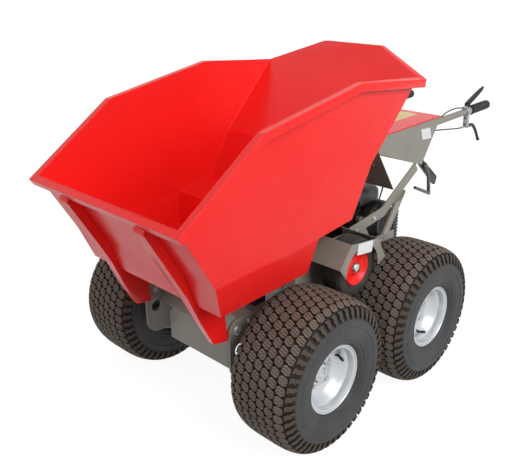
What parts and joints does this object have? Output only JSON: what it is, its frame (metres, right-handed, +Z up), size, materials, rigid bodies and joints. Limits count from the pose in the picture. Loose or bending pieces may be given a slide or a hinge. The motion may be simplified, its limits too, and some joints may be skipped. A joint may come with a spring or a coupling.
{
  "type": "walk-behind four-wheel site dumper",
  "caption": "Walk-behind four-wheel mini dumper: a forward-tipping red steel skip over wide turf tyres, friction drive wheels, petrol engine and rear control handles.",
  "frame": {"origin": "on the ground, on the mid-plane, under the middle of the machine's length", "axes": "+Z up, -Y forward (the way the skip tips), +X to the machine's left"},
  "size_m": [1.008, 1.8685, 1.1571],
  "materials": {
    "red_paint": "gloss red paint",
    "grey_paint": "satin warm grey paint",
    "silver_paint": "silver wheel paint",
    "bright_steel": "zinc plated",
    "black_plastic": "satin black",
    "tyre_rubber": "dusty rubber"
  },
  "bodies": {
    "chassis": {"axle_front": "bright_steel", "axle_rear": "bright_steel", "brake_lever_left": "black_plastic", "brake_lever_right": "black_plastic", "chassis_deck": "grey_paint", "chassis_front_plate": "grey_paint", "chassis_side_plate_left": "grey_paint", "chassis_side_plate_right": "grey_paint", "console_lid": "red_paint", "console_shell": "grey_paint", "drive_axle": "bright_steel", "drive_guard_left": "grey_paint", "drive_guard_right": "grey_paint", "engine_air_filter": "black_plastic", "engine_block": "black_plastic", "engine_muffler": "black_plastic", "engine_recoil": "black_plastic", "engine_tank": "black_plastic", "grip_left": "black_plastic", "grip_right": "black_plastic", "hand_lever_left": "black_plastic", "hand_lever_right": "black_plastic", "handle_bar_left": "grey_paint", "handle_bar_right": "grey_paint", "handle_brace_left": "grey_paint", "handle_brace_right": "grey_paint", "handlebar_left": "grey_paint", "handlebar_right": "grey_paint", "latch_paddle": "black_plastic", "lever_bracket_left": "bright_steel", "lever_bracket_right": "bright_steel", "lever_clamp_left": "bright_steel", "lever_clamp_right": "bright_steel", "pivot_pin_left": "bright_steel", "pivot_pin_right": "bright_steel", "skip_rest_left": "black_plastic", "skip_rest_right": "black_plastic"},
    "skip": {"skip_channel_left": "red_paint", "skip_channel_right": "red_paint", "skip_hinge_arm_left": "grey_paint", "skip_hinge_arm_right": "grey_paint", "skip_rim": "red_paint", "skip_tub": "red_paint"},
    "wheel_front_left": {"tyre_front_left": "tyre_rubber", "rim_front_left": "silver_paint", "hub_front_left": "silver_paint"},
    "wheel_front_right": {"tyre_front_right": "tyre_rubber", "rim_front_right": "silver_paint", "hub_front_right": "silver_paint"},
    "wheel_rear_left": {"tyre_rear_left": "tyre_rubber", "rim_rear_left": "silver_paint", "hub_rear_left": "silver_paint"},
    "wheel_rear_right": {"tyre_rear_right": "tyre_rubber", "rim_rear_right": "silver_paint", "hub_rear_right": "silver_paint"},
    "drive_wheel_left": {"drive_tyre_left": "tyre_rubber", "drive_rim_left": "red_paint"},
    "drive_wheel_right": {"drive_tyre_right": "tyre_rubber", "drive_rim_right": "red_paint"}
  },
  "joints": [
    {"name": "front_left_wheel_roll", "type": "hinge", "parent": "chassis", "child": "wheel_front_left", "pos_m": [0.382, -0.4675, 0.254], "axis": [1, 0, 0], "continuous": true},
    {"name": "front_right_wheel_roll", "type": "hinge", "parent": "chassis", "child": "wheel_front_right", "pos_m": [-0.382, -0.4675, 0.254], "axis": [1, 0, 0], "continuous": true},
    {"name": "rear_left_wheel_roll", "type": "hinge", "parent": "chassis", "child": "wheel_rear_left", "pos_m": [0.382, 0.0805, 0.254], "axis": [1, 0, 0], "continuous": true},
    {"name": "rear_right_wheel_roll", "type": "hinge", "parent": "chassis", "child": "wheel_rear_right", "pos_m": [-0.382, 0.0805, 0.254], "axis": [1, 0, 0], "continuous": true},
    {"name": "left_drive_wheel_roll", "type": "hinge", "parent": "chassis", "child": "drive_wheel_left", "pos_m": [0.313, -0.1935, 0.4921], "axis": [1, 0, 0], "continuous": true},
    {"name": "right_drive_wheel_roll", "type": "hinge", "parent": "chassis", "child": "drive_wheel_right", "pos_m": [-0.313, -0.1935, 0.4921], "axis": [1, 0, 0], "continuous": true},
    {"name": "skip_tip", "type": "hinge", "parent": "chassis", "child": "skip", "pos_m": [0, -0.6135, 0.378], "axis": [1, 0, 0], "range_deg": [0, 80]}
  ]
}
